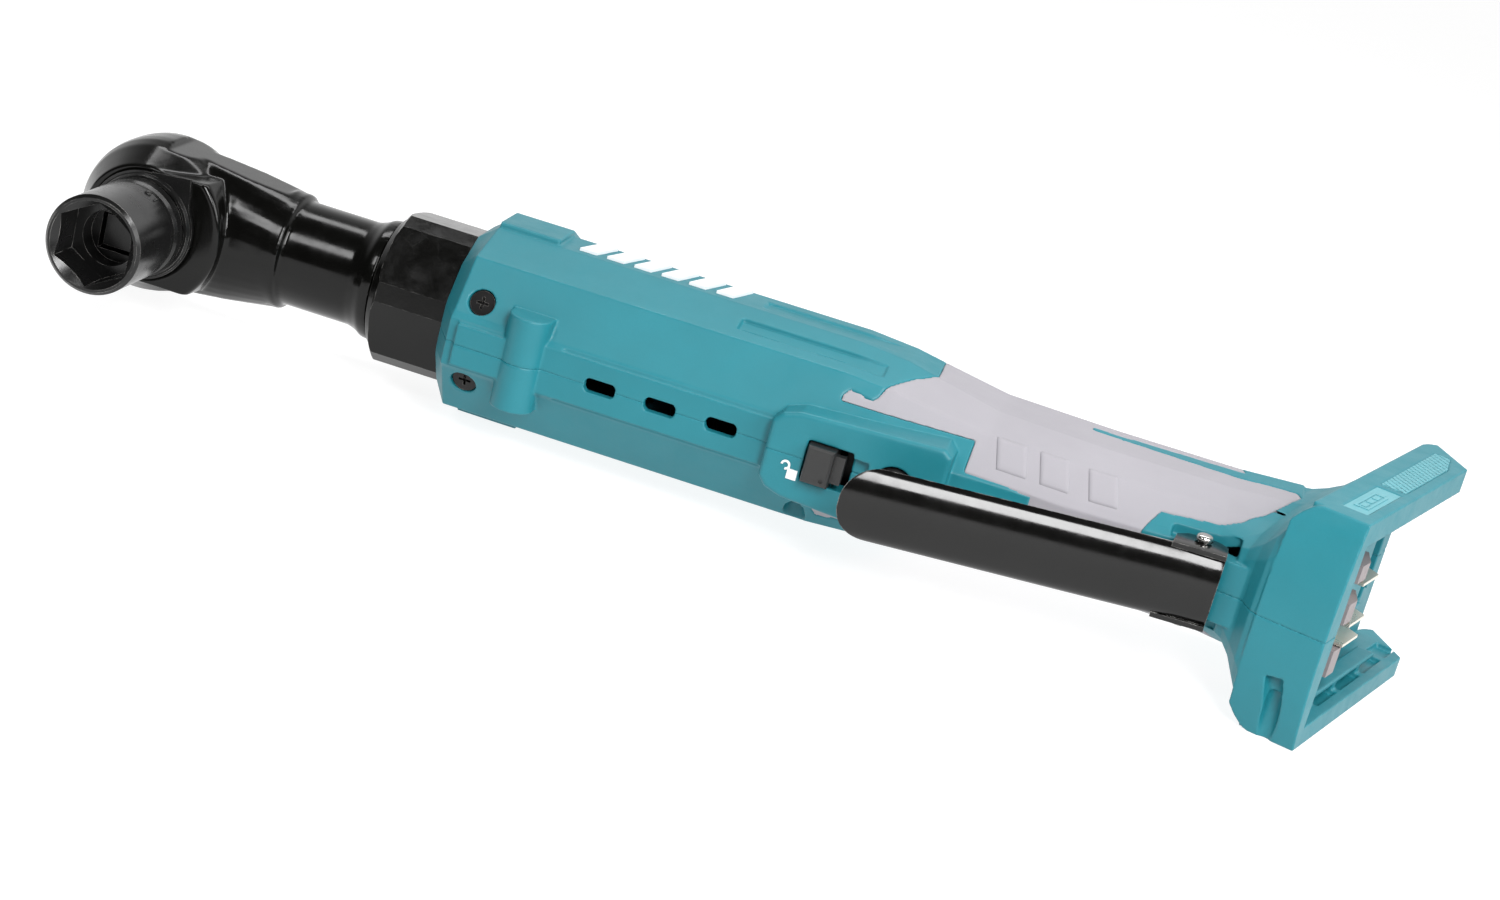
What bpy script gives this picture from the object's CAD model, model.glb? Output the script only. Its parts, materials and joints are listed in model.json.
import json
import math

import bmesh
import bpy
from mathutils import Matrix, Vector


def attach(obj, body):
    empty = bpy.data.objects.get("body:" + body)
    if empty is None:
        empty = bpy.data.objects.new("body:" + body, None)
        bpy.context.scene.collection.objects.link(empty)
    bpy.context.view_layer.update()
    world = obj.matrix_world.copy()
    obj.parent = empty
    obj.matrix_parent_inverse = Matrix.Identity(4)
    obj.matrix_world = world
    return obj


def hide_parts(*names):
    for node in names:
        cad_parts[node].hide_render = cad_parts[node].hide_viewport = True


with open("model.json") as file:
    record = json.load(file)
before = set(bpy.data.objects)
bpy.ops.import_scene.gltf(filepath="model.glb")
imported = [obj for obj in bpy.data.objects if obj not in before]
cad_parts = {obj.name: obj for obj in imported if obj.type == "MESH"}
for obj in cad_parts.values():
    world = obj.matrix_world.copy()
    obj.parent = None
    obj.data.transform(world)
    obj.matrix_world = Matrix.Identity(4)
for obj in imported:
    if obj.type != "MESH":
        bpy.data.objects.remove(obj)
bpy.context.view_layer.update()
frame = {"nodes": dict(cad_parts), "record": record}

MM = 0.001
AXIS_Y = 0.048          # the tool's long axis stands this far behind the socket mouth
scene = bpy.context.scene


# ---------------------------------------------------------------- camera
def place_camera():
    """Camera at the photograph's viewing angle, tilted to lay the tool across the view."""
    position = Vector((0.2748, -0.6501, 0.2157))
    azimuth, elevation, roll = (math.radians(v) for v in (8.657, 18.013, 15.149))
    level_right = Vector((math.cos(azimuth), math.sin(azimuth), 0))
    level_up = Vector((-math.sin(azimuth) * math.sin(elevation),
                       math.cos(azimuth) * math.sin(elevation), math.cos(elevation)))
    forward = Vector((-math.sin(azimuth) * math.cos(elevation),
                      math.cos(azimuth) * math.cos(elevation), -math.sin(elevation)))
    right = level_right * math.cos(roll) + level_up * math.sin(roll)
    up = -level_right * math.sin(roll) + level_up * math.cos(roll)
    data = bpy.data.cameras.new("camera")
    data.lens = 68.24
    data.clip_start = 0.01
    camera = bpy.data.objects.new("camera", data)
    turn = Matrix((right, up, -forward)).transposed()
    camera.matrix_world = Matrix.Translation(position) @ turn.to_4x4()
    scene.collection.objects.link(camera)
    scene.camera = camera


# ---------------------------------------------------------------- materials
class Graph:
    """Small helper that adds and links shader nodes."""

    def __init__(self, tree):
        self.tree = tree
        tree.nodes.clear()

    def add(self, kind, **settings):
        node = self.tree.nodes.new(kind)
        for name, value in settings.items():
            setattr(node, name, value)
        return node

    def link(self, a, b):
        self.tree.links.new(a, b)

    def noise(self, coords, scale, detail=2.0, roughness=0.5):
        node = self.add("ShaderNodeTexNoise")
        node.inputs["Scale"].default_value = scale
        node.inputs["Detail"].default_value = detail
        node.inputs["Roughness"].default_value = roughness
        self.link(coords, node.inputs["Vector"])
        return node.outputs["Fac"]

    def spread(self, value, low, high, from_low=0.3, from_high=0.7):
        node = self.add("ShaderNodeMapRange")
        node.inputs["From Min"].default_value = from_low
        node.inputs["From Max"].default_value = from_high
        node.inputs["To Min"].default_value = low
        node.inputs["To Max"].default_value = high
        self.link(value, node.inputs["Value"])
        return node.outputs["Result"]

    def math(self, operation, a, b):
        node = self.add("ShaderNodeMath", operation=operation)
        for socket, value in zip(node.inputs, (a, b)):
            if isinstance(value, (int, float)):
                socket.default_value = value
            else:
                self.link(value, socket)
        return node.outputs[0]

    def mix(self, factor, a, b):
        node = self.add("ShaderNodeMix", data_type="RGBA")
        self.link(factor, node.inputs["Factor"])
        for socket, value in ((node.inputs[6], a), (node.inputs[7], b)):
            if isinstance(value, tuple):
                socket.default_value = value
            else:
                self.link(value, socket)
        return node.outputs[2]


def shade(colour, factor):
    return tuple(min(1.0, c * factor) for c in colour) + (1.0,)


def make_material(name, colour, rough, metallic=0.0, vary=0.08, rough_vary=0.06, grain=1800.0,
                  grain_depth=0.02, cloud=45.0, wear=0.0, wear_colour=(0.5, 0.5, 0.5), edge=0.35,
                  marks=0.0, specular=0.5, brushed=None):
    """Surface with clouded colour, grain, uneven gloss and worn edges, all from object coordinates."""
    material = bpy.data.materials.new(name)
    material.use_nodes = True
    g = Graph(material.node_tree)
    out = g.add("ShaderNodeOutputMaterial")
    shader = g.add("ShaderNodeBsdfPrincipled")
    g.link(shader.outputs[0], out.inputs[0])
    coords = g.add("ShaderNodeTexCoord").outputs["Object"]
    if brushed:
        stretch = g.add("ShaderNodeMapping")
        stretch.inputs["Scale"].default_value = brushed
        g.link(coords, stretch.inputs["Vector"])
        fine_coords = stretch.outputs[0]
    else:
        fine_coords = coords
    clouds = g.noise(coords, cloud, 4.0, 0.6)
    fine = g.noise(fine_coords, grain, 3.0, 0.6)
    tone = g.mix(g.spread(clouds, 0.0, 1.0), shade(colour, 1.0 - vary), shade(colour, 1.0 + vary))
    tone = g.mix(g.spread(fine, 0.0, 0.35), tone, shade(colour, 1.0 - 1.6 * vary))
    gloss = g.spread(g.noise(coords, cloud * 3.1, 5.0, 0.65), rough - rough_vary, rough + rough_vary)
    if marks:
        scratch = g.add("ShaderNodeTexVoronoi", feature="DISTANCE_TO_EDGE")
        scratch.inputs["Scale"].default_value = cloud * 4.0
        g.link(coords, scratch.inputs["Vector"])
        line = g.spread(scratch.outputs["Distance"], marks, 0.0, 0.0, 0.012)
        line = g.math("MULTIPLY", line, g.spread(g.noise(coords, cloud * 1.7), 0.0, 1.0, 0.52, 0.66))
        gloss = g.math("ADD", gloss, line)
    if wear:
        bevel = g.add("ShaderNodeBevel", samples=4)
        bevel.inputs["Radius"].default_value = edge * MM
        flat = g.add("ShaderNodeNewGeometry")
        dot = g.add("ShaderNodeVectorMath", operation="DOT_PRODUCT")
        g.link(bevel.outputs[0], dot.inputs[0])
        g.link(flat.outputs["Normal"], dot.inputs[1])
        worn = g.spread(dot.outputs["Value"], 1.0, 0.0, 0.90, 0.995)
        worn = g.math("MULTIPLY", worn, g.spread(g.noise(coords, cloud * 5.0, 4.0), 0.0, wear, 0.42, 0.62))
        tone = g.mix(worn, tone, tuple(wear_colour) + (1.0,))
    g.link(tone, shader.inputs["Base Color"])
    g.link(gloss, shader.inputs["Roughness"])
    bump = g.add("ShaderNodeBump")
    bump.inputs["Strength"].default_value = 0.5
    bump.inputs["Distance"].default_value = grain_depth * MM
    g.link(fine, bump.inputs["Height"])
    g.link(bump.outputs[0], shader.inputs["Normal"])
    shader.inputs["Metallic"].default_value = metallic
    shader.inputs["Specular IOR Level"].default_value = specular
    return material


TEAL = (0.0095, 0.172, 0.212)
GREY = (0.31, 0.30, 0.325)
PALE_WEAR = (0.45, 0.44, 0.42)
MATERIALS = {
    "teal_shell": make_material("teal_shell", TEAL, 0.46, vary=0.06, grain=2600, grain_depth=0.035, wear=0.25,
                                wear_colour=(0.13, 0.42, 0.47), edge=0.5, specular=0.45),
    "badge_teal": make_material("badge_teal", (0.11, 0.33, 0.375), 0.5, grain=2200, grain_depth=0.03,
                                specular=0.4),
    "grey_grip": make_material("grey_grip", GREY, 0.62, vary=0.03, grain=3400, grain_depth=0.05, wear=0.15,
                               wear_colour=(0.30, 0.29, 0.32), edge=0.4, specular=0.3),
    "black_steel": make_material("black_steel", (0.0025, 0.0025, 0.0022), 0.16, vary=0.3, rough_vary=0.06,
                                 grain=900, grain_depth=0.010, cloud=60, wear=0.5, wear_colour=PALE_WEAR,
                                 edge=0.2, marks=0.12, specular=0.30),
    "socket_black": make_material("socket_black", (0.0060, 0.0060, 0.0060), 0.24, vary=0.2, rough_vary=0.07,
                                  grain=1500, grain_depth=0.012, wear=0.6, wear_colour=PALE_WEAR, edge=0.25,
                                  marks=0.08, specular=0.42),
    "paddle_black": make_material("paddle_black", (0.0035, 0.0034, 0.0032), 0.13, vary=0.25, rough_vary=0.04,
                                  grain=1200, grain_depth=0.005, cloud=80, wear=0.6, wear_colour=PALE_WEAR,
                                  edge=0.25, marks=0.10, specular=0.42),
    "black_plastic": make_material("black_plastic", (0.020, 0.020, 0.020), 0.45, grain=2600, grain_depth=0.04,
                                   wear=0.2, wear_colour=(0.08, 0.08, 0.08)),
    "black_rubber": make_material("black_rubber", (0.010, 0.010, 0.010), 0.7, grain=2000, grain_depth=0.04,
                                  specular=0.3),
    "black_screw": make_material("black_screw", (0.020, 0.019, 0.019), 0.3, metallic=0.6, grain=1400, wear=0.7,
                                 wear_colour=(0.4, 0.38, 0.36), edge=0.2),
    "dark_steel": make_material("dark_steel", (0.012, 0.012, 0.012), 0.24, metallic=0.3, grain=1500, wear=0.5,
                                wear_colour=PALE_WEAR, edge=0.2),
    "spring_steel": make_material("spring_steel", (0.16, 0.16, 0.17), 0.28, metallic=1.0, grain=1300),
    "bright_steel": make_material("bright_steel", (0.50, 0.49, 0.47), 0.24, metallic=1.0, grain=1200,
                                  rough_vary=0.08, brushed=(1.0, 1.0, 0.1)),
    "bronze": make_material("bronze", (0.42, 0.27, 0.12), 0.4, metallic=1.0, grain=2000),
    "motor_steel": make_material("motor_steel", (0.36, 0.37, 0.38), 0.35, metallic=1.0, grain=1500),
    "magnet": make_material("magnet", (0.04, 0.04, 0.043), 0.6, grain=2500),
    "lamination": make_material("lamination", (0.14, 0.14, 0.15), 0.45, metallic=0.8, grain=1500,
                                brushed=(8.0, 1.0, 1.0)),
    "copper": make_material("copper", (0.50, 0.19, 0.08), 0.35, metallic=1.0, grain=1500),
    "brass_guide": make_material("brass_guide", (0.52, 0.35, 0.12), 0.35, metallic=1.0, grain=1500),
    "blade_brass": make_material("blade_brass", (0.80, 0.74, 0.64), 0.3, metallic=0.85, grain=1400,
                                 brushed=(0.2, 1.0, 1.0)),
    "board_green": make_material("board_green", (0.012, 0.07, 0.03), 0.4, grain=2000),
    "grey_plastic": make_material("grey_plastic", (0.235, 0.205, 0.210), 0.5, grain=2400, grain_depth=0.04),
    "wire_black": make_material("wire_black", (0.012, 0.012, 0.012), 0.45, grain=2000),
    "wire_red": make_material("wire_red", (0.25, 0.01, 0.01), 0.45, grain=2000),
    "white_mark": make_material("white_mark", (0.78, 0.79, 0.80), 0.4, vary=0.03, grain=2200, wear=0.2,
                                wear_colour=(0.4, 0.55, 0.58), edge=0.3),
}


def paint_nodes():
    """Gives every CAD node the material of its slot in the record."""
    for entry in frame["record"]["subparts"]:
        node = frame["nodes"][entry["node"]]
        node.data.materials.clear()
        node.data.materials.append(MATERIALS[entry["material_slot"]])


# ---------------------------------------------------------------- softened edges
def soften(name, voxel, rounds):
    """Rebuilds a node's surface on a fine grid and relaxes it, so moulded edges turn round."""
    node = frame["nodes"][name]
    grid = node.modifiers.new("grid", "REMESH")
    grid.mode = "VOXEL"
    grid.voxel_size = voxel * MM
    grid.use_smooth_shade = True
    relax = node.modifiers.new("relax", "SMOOTH")
    relax.factor = 0.5
    relax.iterations = rounds


# ---------------------------------------------------------------- pieces made here
def add_piece(name, shape, slot, body, replaces=()):
    """Turns a finished bmesh into a piece that rides on a body."""
    bmesh.ops.recalc_face_normals(shape, faces=shape.faces[:])
    for f in shape.faces:
        f.smooth = True
    mesh = bpy.data.meshes.new(name)
    shape.to_mesh(mesh)
    shape.free()
    piece = bpy.data.objects.new(name, mesh)
    scene.collection.objects.link(piece)
    mesh.materials.append(MATERIALS[slot])
    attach(piece, body)
    if replaces:
        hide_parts(*replaces)
    return piece


def round_edges(piece, width):
    """Rounds a piece's sharp edges, with the width in millimetres."""
    bevel = piece.modifiers.new("round", "BEVEL")
    bevel.width = width * MM
    bevel.segments = 3
    bevel.limit_method = "ANGLE"
    bevel.angle_limit = math.radians(35.0)


def prism(shape, outline, z0, z1):
    """Solid between two heights on a plan outline, in millimetres along the tool's axis frame."""
    low = [shape.verts.new((x * MM, y * MM + AXIS_Y, z0 * MM)) for x, y in outline]
    high = [shape.verts.new((x * MM, y * MM + AXIS_Y, z1 * MM)) for x, y in outline]
    shape.faces.new(low)
    shape.faces.new(high)
    n = len(outline)
    for i in range(n):
        j = (i + 1) % n
        shape.faces.new((low[i], low[j], high[j], high[i]))


PADDLE_TIP_X = 201.0
PADDLE_END_X = 292.8
PADDLE_HALF = 9.35
PADDLE_CROWN = 4.3
PADDLE_SHEET = 1.3
PADDLE_SPREAD = 0.35    # how much wider the pivot end is than the tip, each side
PADDLE_LEAN = 11.7      # degrees between the paddle and the tool's axis
BEND_X = 285.0          # where the sheet turns level towards its ears
TIP_ROUND = 8.6
TIP_STEPS = 12
BODY_STEPS = 40
ARCH_STEPS = 24
EAR = ((279.4, -39.9), (292.8, -38.9), (292.7, -31.8), (290.6, -29.6), (286.5, -28.6),
       (282.6, -29.6), (279.8, -32.4))
EAR_Z = (8.7, 10.0)


def paddle_edge_y(x):
    """Height line of the paddle's side edges, as the frame's lever has it."""
    y = -38.4 - (276.6 - min(x, BEND_X)) * math.tan(math.radians(PADDLE_LEAN))
    return y + max(0.0, x - BEND_X) * 0.10


def paddle_half(x):
    """Half width in plan: a round tip, then parallel sides that spread slightly."""
    spread = PADDLE_HALF + PADDLE_SPREAD * (x - PADDLE_TIP_X) / (PADDLE_END_X - PADDLE_TIP_X)
    t = (x - PADDLE_TIP_X) / TIP_ROUND
    if t >= 1.0:
        return spread
    return spread * math.sqrt(max(0.0, 1.0 - (1.0 - t) ** 2)) ** 0.9


def make_paddle():
    """Bent sheet: full arch cut to a round tip in plan, with two pivot ears."""
    shape = bmesh.new()
    across = ARCH_STEPS
    body_x = PADDLE_TIP_X + TIP_ROUND
    xs = [PADDLE_TIP_X + TIP_ROUND * (1 - math.cos(math.pi / 2 * i / TIP_STEPS))
          for i in range(1, TIP_STEPS + 1)]
    xs += [body_x + (PADDLE_END_X - body_x) * i / BODY_STEPS for i in range(1, BODY_STEPS + 1)]

    def point(x, u, depth):
        """Point across the arch: u from -1 to 1, depth measured inwards from the outside."""
        z = u * paddle_half(x)
        w = min(0.995, abs(z) / (PADDLE_HALF + 0.4))
        rise = PADDLE_CROWN * math.sqrt(1 - w * w)
        slope = PADDLE_CROWN * w / math.sqrt(1 - w * w) / (PADDLE_HALF + 0.4)
        k = 1 / math.hypot(1, slope)
        y = paddle_edge_y(x) - rise + depth * k
        z = z - math.copysign(depth * slope * k, z)
        return Vector((x * MM, y * MM + AXIS_Y, z * MM))

    layers = []
    for depth in (0.0, PADDLE_SHEET):
        rows = []
        for x in xs:
            rows.append([shape.verts.new(point(x, -1 + 2 * i / across, depth))
                         for i in range(across + 1)])
        layers.append(rows)
    for rows in layers:
        for a, b in zip(rows, rows[1:]):
            for i in range(across):
                shape.faces.new((a[i], a[i + 1], b[i + 1], b[i]))
    outer, inner = layers
    for i in range(across):
        shape.faces.new((outer[0][i], outer[0][i + 1], inner[0][i + 1], inner[0][i]))
        shape.faces.new((outer[-1][i], outer[-1][i + 1], inner[-1][i + 1], inner[-1][i]))
    for side in (0, across):
        for (a, b), (c, d) in zip(zip(outer, outer[1:]), zip(inner, inner[1:])):
            shape.faces.new((a[side], b[side], d[side], c[side]))
    prism(shape, EAR, EAR_Z[0], EAR_Z[1])
    prism(shape, EAR, -EAR_Z[1], -EAR_Z[0])
    paddle = add_piece("paddle_sheet", shape, "paddle_black", "paddle", ("trigger_paddle",))
    round_edges(paddle, 0.3)


RIB_PLACES = ((229.8, 9.0), (241.1, 8.6), (253.7, 8.6))
RIB_TOP_Y = -20.5
RIB_DEPTH = 8.5
RIB_SLANT = 3.0
RIB_LIFT = 0.30
RIB_RIM = -0.05         # the rim dips just under the grip, so the pad grows out of it
RIB_ROOT = -0.6
RIB_CORNER = 0.16
RIB_STEPS = (10, 8)


def housing_point(x, y, side, lift):
    """Point on the grip's outside, found by a ray along Z onto the frame's grip."""
    grip = frame["nodes"]["grip_upper" if side > 0 else "grip_lower"]
    start = Vector((x * MM, y * MM + AXIS_Y, side * 0.06))
    hit, where, normal, _ = grip.ray_cast(start, Vector((0, 0, -side)))
    if not hit:
        return None
    return where + normal * lift * MM


def outline(rows):
    """Points round the edge of a grid, in order."""
    right = [row[-1] for row in rows[1:]]
    left = [row[0] for row in rows[-2:0:-1]]
    return rows[0] + right + rows[-1][-2::-1] + left


def make_grip_ribs():
    """Three low slanted pads on each flank of the grip, laid on its surface."""
    for side, label in ((1, "upper"), (-1, "lower")):
        shape = bmesh.new()
        steps_x, steps_y = RIB_STEPS
        corner = RIB_CORNER
        for x0, length in RIB_PLACES:
            tops, skirts = [], []
            for j in range(steps_y + 1):
                top_row, skirt_row = [], []
                for i in range(steps_x + 1):
                    u, v = i / steps_x, j / steps_y
                    du = max(0.0, abs(u - 0.5) - (0.5 - corner)) / corner
                    dv = max(0.0, abs(v - 0.5) - (0.5 - corner)) / corner
                    pull = math.hypot(du, dv)
                    if pull > 1.0:
                        u = 0.5 + (u - 0.5) * (1 - 0.3 * corner * du / 0.5)
                        v = 0.5 + (v - 0.5) * (1 - 0.3 * corner * dv / 0.5)
                    x = x0 + length * u + RIB_SLANT * (1 - v)
                    y = RIB_TOP_Y - RIB_DEPTH * (1 - v)
                    rim = i in (0, steps_x) or j in (0, steps_y)
                    top_row.append(housing_point(x, y, side, RIB_RIM if rim else RIB_LIFT))
                    skirt_row.append(housing_point(x, y, side, RIB_ROOT))
                tops.append(top_row)
                skirts.append(skirt_row)
            if any(p is None for row in tops + skirts for p in row):
                raise RuntimeError("a grip pad misses the grip at X %.1f" % x0)
            top = [[shape.verts.new(p) for p in row] for row in tops]
            low = [[shape.verts.new(p) for p in row] for row in skirts]
            for grid in (top, low):
                for a, b in zip(grid, grid[1:]):
                    for i in range(steps_x):
                        shape.faces.new((a[i], a[i + 1], b[i + 1], b[i]))
            ring_top = outline(top)
            ring_low = outline(low)
            n = len(ring_top)
            for i in range(n):
                j = (i + 1) % n
                shape.faces.new((ring_top[i], ring_top[j], ring_low[j], ring_low[i]))
        add_piece("grip_pads_" + label, shape, "grey_grip", "tool")


SOCKET_R = 13.0
DIGIT_HEIGHT = 4.6
DIGIT_LIFT = 0.32
DIGIT_ROOT = -0.25
DIGIT_START = 38.0      # degrees round the socket from its top
DIGIT_Y = 20.4


def make_size_digits():
    """The size 19 raised on the socket, wrapped round its outside near the drive end."""
    curve = bpy.data.curves.new("digits", "FONT")
    curve.body = "19"
    curve.size = DIGIT_HEIGHT * MM
    curve.space_character = 1.15
    curve.extrude = 0.5 * MM
    curve.resolution_u = 4
    text = bpy.data.objects.new("digits", curve)
    mesh = bpy.data.meshes.new_from_object(text)
    bpy.data.objects.remove(text)
    shape = bmesh.new()
    shape.from_mesh(mesh)
    bpy.data.meshes.remove(mesh)
    bmesh.ops.remove_doubles(shape, verts=shape.verts[:], dist=1e-7)
    for v in shape.verts:
        along, up, lift = v.co
        angle = math.radians(DIGIT_START) - along / (SOCKET_R * MM)
        radius = (SOCKET_R + (DIGIT_LIFT if lift > 0 else DIGIT_ROOT)) * MM
        y = DIGIT_Y * MM - up
        v.co = (radius * math.sin(angle), y, radius * math.cos(angle))
    add_piece("size_digits", shape, "socket_black", "socket")


# ---------------------------------------------------------------- floor and light
FLOOR_REACH = 6.0
FLOOR_SLOPE = -0.0165
FLOOR_REST = (0.0905, -0.0262)      # X and Z where the barrel touches the floor
FLOOR_GLOW = 0.88
FLOOR_TONE = 0.25
BACKDROP = 1.3
FRONT_DIM = 0.05


def make_floor():
    """Plane under the foot's lower edge and the nose, where the tool rests."""
    reach = FLOOR_REACH
    corners = []
    for x, y in ((-reach, -reach), (reach, -reach), (reach, reach), (-reach, reach)):
        corners.append((x, y, FLOOR_REST[1] + FLOOR_SLOPE * (x - FLOOR_REST[0])))
    mesh = bpy.data.meshes.new("floor")
    mesh.from_pydata(corners, [], [(0, 1, 2, 3)])
    floor = bpy.data.objects.new("floor", mesh)
    scene.collection.objects.link(floor)
    paint = bpy.data.materials.new("floor_paint")
    paint.use_nodes = True
    shader = paint.node_tree.nodes["Principled BSDF"]
    shader.inputs["Base Color"].default_value = (FLOOR_TONE, FLOOR_TONE, FLOOR_TONE, 1)
    shader.inputs["Roughness"].default_value = 0.8
    shader.inputs["Specular IOR Level"].default_value = 0.1
    shader.inputs["Emission Color"].default_value = (1, 1, 1, 1)
    shader.inputs["Emission Strength"].default_value = FLOOR_GLOW
    mesh.materials.append(paint)


def make_world():
    """Bright backdrop low down behind the tool and a dim room on the camera's side."""
    world = bpy.data.worlds.new("world")
    scene.world = world
    world.use_nodes = True
    g = Graph(world.node_tree)
    out = g.add("ShaderNodeOutputWorld")
    back = g.add("ShaderNodeBackground")
    g.link(back.outputs[0], out.inputs[0])
    split = g.add("ShaderNodeSeparateXYZ")
    g.link(g.add("ShaderNodeTexCoord").outputs["Generated"], split.inputs[0])
    behind = g.spread(split.outputs[1], 0.0, BACKDROP, -0.05, 0.45)
    low_down = g.spread(split.outputs[2], 1.0, 0.25, 0.35, 0.85)
    glow = g.math("ADD", g.math("MULTIPLY", behind, low_down), FRONT_DIM)
    g.link(glow, back.inputs["Strength"])


SOFTBOXES = (
    # name, place, aim, width, height, power
    ("overhead", (0.16, 0.30, 0.75), (0.16, 0.04, 0.0), 1.1, 0.17, 4.4),
    ("paddle_light", (0.45, -0.50, 0.45), (0.25, -0.03, 0.0), 0.20, 0.40, 5.6),
    ("neck_light", (-0.14, -0.45, 0.50), (0.03, 0.0, 0.0), 0.18, 0.18, 1.2),
    ("end_light", (0.85, -0.30, 0.35), (0.33, -0.02, 0.0), 0.40, 0.40, 3.5),
)


def add_softbox(name, where, aim, width, height, power):
    """Rectangular light that faces the point it is aimed at."""
    data = bpy.data.lights.new(name, "AREA")
    data.shape = "RECTANGLE"
    data.size = width
    data.size_y = height
    data.energy = power
    light = bpy.data.objects.new(name, data)
    place = Vector(where)
    light.location = place
    light.rotation_euler = (Vector(aim) - place).to_track_quat("-Z", "Y").to_euler()
    scene.collection.objects.link(light)


scene.view_settings.view_transform = "Standard"
place_camera()
paint_nodes()
for shell in ("shell_upper", "shell_lower"):
    soften(shell, 0.33, 2)
for skin in ("grip_upper", "grip_lower"):
    soften(skin, 0.35, 4)
soften("head_housing", 0.4, 14)
make_world()
make_floor()
make_paddle()
make_grip_ribs()
make_size_digits()
for softbox in SOFTBOXES:
    add_softbox(*softbox)
